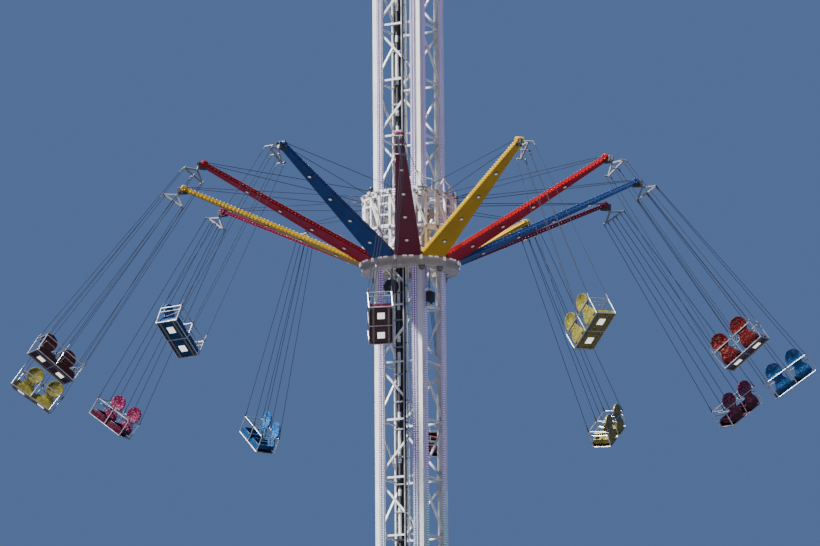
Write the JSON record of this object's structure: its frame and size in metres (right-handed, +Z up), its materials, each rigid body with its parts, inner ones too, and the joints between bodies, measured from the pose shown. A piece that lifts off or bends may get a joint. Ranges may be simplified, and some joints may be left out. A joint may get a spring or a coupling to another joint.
{
  "type": "chair swing ride",
  "caption": "Lattice tower with a carriage that climbs it, a turning star of rising arms, and two-seat gondolas hung on ropes from the arm tips and flung outwards.",
  "frame": {"origin": "centre of the base frame's underside, on the tower's axis", "axes": "+Z up the tower, +X and +Y square to the tower's faces; the cable tray and the conductor rails are on the -Y face"},
  "size_m": [19.7588, 19.7588, 37.375],
  "materials": {
    "base_steel": "satin grey paint",
    "winch_steel": "satin dark grey paint",
    "tower_white": "satin white paint",
    "carriage_white": "satin white paint",
    "ring_grey": "satin warm grey paint",
    "tray_steel": "matt dark grey paint",
    "rail_aluminium": "plain extruded",
    "rope_steel": "greased wire rope",
    "hanger_steel": "white paint on the spreader, bare dark wire ropes",
    "magenta_paint": "gloss magenta paint",
    "yellow_paint": "gloss yellow paint",
    "red_paint": "gloss red paint",
    "blue_paint": "gloss blue paint"
  },
  "bodies": {
    "tower": {"base_frame": "base_steel", "winch": "winch_steel", "tower_lower": "tower_white", "tower_middle": "tower_white", "tower_upper": "tower_white", "tower_head": "tower_white", "hoist_rope": "rope_steel", "cable_tray": "tray_steel", "power_rail": "rail_aluminium"},
    "carriage": {"slewing_base": "ring_grey", "carriage_frame": "carriage_white"},
    "rotor": {"turntable": "ring_grey", "rotor_cage": "carriage_white", "arm_01": "magenta_paint", "arm_02": "yellow_paint", "arm_03": "red_paint", "arm_04": "blue_paint", "arm_05": "magenta_paint", "arm_06": "yellow_paint", "arm_07": "red_paint", "arm_08": "blue_paint", "arm_09": "magenta_paint", "arm_10": "yellow_paint", "arm_11": "red_paint", "arm_12": "blue_paint"},
    "chair_01": {"hanger_01": "hanger_steel", "gondola_01": "magenta_paint"},
    "chair_02": {"hanger_02": "hanger_steel", "gondola_02": "yellow_paint"},
    "chair_03": {"hanger_03": "hanger_steel", "gondola_03": "red_paint"},
    "chair_04": {"hanger_04": "hanger_steel", "gondola_04": "blue_paint"},
    "chair_05": {"hanger_05": "hanger_steel", "gondola_05": "magenta_paint"},
    "chair_06": {"hanger_06": "hanger_steel", "gondola_06": "yellow_paint"},
    "chair_07": {"hanger_07": "hanger_steel", "gondola_07": "red_paint"},
    "chair_08": {"hanger_08": "hanger_steel", "gondola_08": "blue_paint"},
    "chair_09": {"hanger_09": "hanger_steel", "gondola_09": "magenta_paint"},
    "chair_10": {"hanger_10": "hanger_steel", "gondola_10": "yellow_paint"},
    "chair_11": {"hanger_11": "hanger_steel", "gondola_11": "red_paint"},
    "chair_12": {"hanger_12": "hanger_steel", "gondola_12": "blue_paint"}
  },
  "joints": [
    {"name": "lift", "type": "slide", "parent": "tower", "child": "carriage", "axis": [0, 0, 1], "range_m": [-15.2, 12.7]},
    {"name": "rotor_spin", "type": "hinge", "parent": "carriage", "child": "rotor", "pos_m": [0, 0, 20], "axis": [0, 0, 1], "continuous": true},
    {"name": "swing_01", "type": "hinge", "parent": "rotor", "child": "chair_01", "pos_m": [2.42583, -5.20221, 22], "axis": [-0.9379, -0.3469, 0], "range_deg": [-36, 9]},
    {"name": "swing_02", "type": "hinge", "parent": "rotor", "child": "chair_02", "pos_m": [4.70193, -3.29233, 22], "axis": [-0.6388, -0.7694, 0], "range_deg": [-36, 9]},
    {"name": "swing_03", "type": "hinge", "parent": "rotor", "child": "chair_03", "pos_m": [5.71816, -0.50027, 22], "axis": [-0.1685, -0.9857, 0], "range_deg": [-36, 9]},
    {"name": "swing_04", "type": "hinge", "parent": "rotor", "child": "chair_04", "pos_m": [5.20221, 2.42583, 22], "axis": [0.3469, -0.9379, 0], "range_deg": [-36, 9]},
    {"name": "swing_05", "type": "hinge", "parent": "rotor", "child": "chair_05", "pos_m": [3.29233, 4.70193, 22], "axis": [0.7694, -0.6388, 0], "range_deg": [-36, 9]},
    {"name": "swing_06", "type": "hinge", "parent": "rotor", "child": "chair_06", "pos_m": [0.50027, 5.71816, 22], "axis": [0.9857, -0.1685, 0], "range_deg": [-36, 9]},
    {"name": "swing_07", "type": "hinge", "parent": "rotor", "child": "chair_07", "pos_m": [-2.42583, 5.20221, 22], "axis": [0.9379, 0.3469, 0], "range_deg": [-36, 9]},
    {"name": "swing_08", "type": "hinge", "parent": "rotor", "child": "chair_08", "pos_m": [-4.70193, 3.29233, 22], "axis": [0.6388, 0.7694, 0], "range_deg": [-36, 9]},
    {"name": "swing_09", "type": "hinge", "parent": "rotor", "child": "chair_09", "pos_m": [-5.71816, 0.50027, 22], "axis": [0.1685, 0.9857, 0], "range_deg": [-36, 9]},
    {"name": "swing_10", "type": "hinge", "parent": "rotor", "child": "chair_10", "pos_m": [-5.20221, -2.42583, 22], "axis": [-0.3469, 0.9379, 0], "range_deg": [-36, 9]},
    {"name": "swing_11", "type": "hinge", "parent": "rotor", "child": "chair_11", "pos_m": [-3.29233, -4.70193, 22], "axis": [-0.7694, 0.6388, 0], "range_deg": [-36, 9]},
    {"name": "swing_12", "type": "hinge", "parent": "rotor", "child": "chair_12", "pos_m": [-0.50027, -5.71816, 22], "axis": [-0.9857, 0.1685, 0], "range_deg": [-36, 9]}
  ]
}
